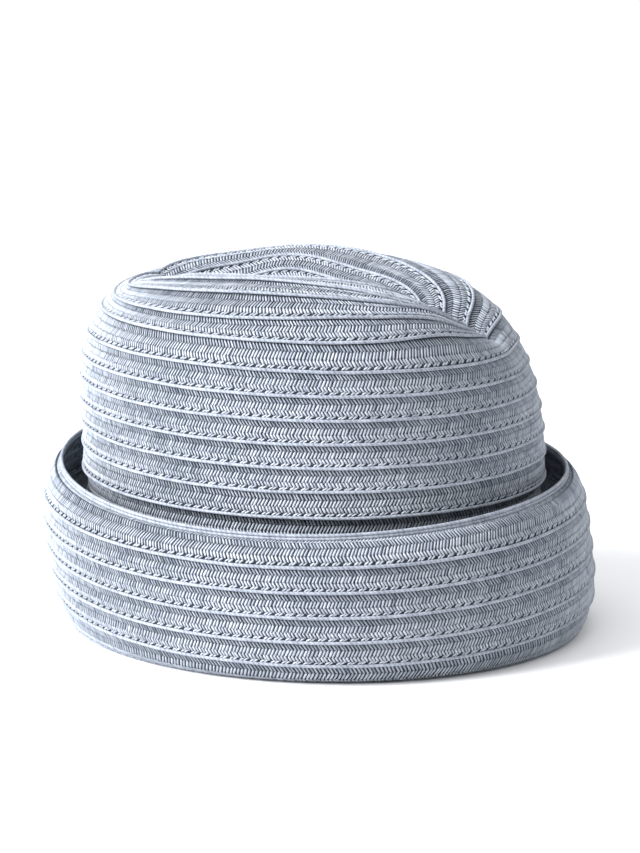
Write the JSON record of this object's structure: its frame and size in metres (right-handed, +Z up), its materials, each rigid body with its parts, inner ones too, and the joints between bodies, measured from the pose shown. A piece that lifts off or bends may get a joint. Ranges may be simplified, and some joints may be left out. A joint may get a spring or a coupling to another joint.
{
  "type": "straw hat",
  "caption": "Sewn straw-braid hat with a lengthwise crease in its crown and a deep turned-up cuff brim edged with doubled cord.",
  "frame": {"origin": "centre of the overall box, at the level of the table that the hat rests on", "axes": "+X along the long way of the head and the crease, towards the end where the crease narrows; +Z up"},
  "size_m": [0.2348, 0.2254, 0.1552],
  "materials": {
    "crown_straw": "matte woven straw braid",
    "brim_straw": "matte woven straw braid",
    "rim_cord": "smooth fine cord"
  },
  "bodies": {
    "root": {"crown": "crown_straw", "brim": "brim_straw", "rim_binding": "rim_cord"}
  },
  "joints": []
}
